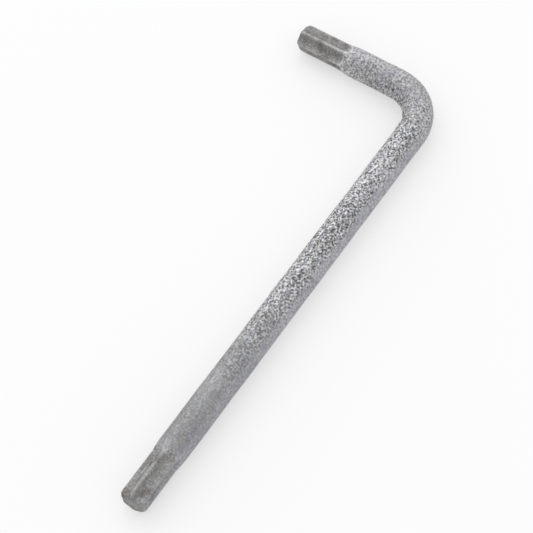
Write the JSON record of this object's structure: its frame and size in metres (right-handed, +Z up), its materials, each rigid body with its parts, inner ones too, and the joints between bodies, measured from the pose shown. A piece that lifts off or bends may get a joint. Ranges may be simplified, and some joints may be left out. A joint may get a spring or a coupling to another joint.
{
  "type": "star-drive key",
  "caption": "L-shaped key bent from round steel bar, with a star drive formed on the tip of both its long arm and its short arm, for turning star-recess screws.",
  "frame": {"origin": "middle of the L's bounding box, on the surface the key lies on", "axes": "the key lies flat; +X along the long arm towards its tip, -Y along the short arm towards its tip, +Z up"},
  "size_m": [0.0512, 0.0166, 0.003],
  "materials": {
    "grey_steel": "dull grey, fine sandy texture left by heat treatment and blasting, browner on the star ends"
  },
  "bodies": {
    "root": {"star_key": "grey_steel"}
  },
  "joints": []
}
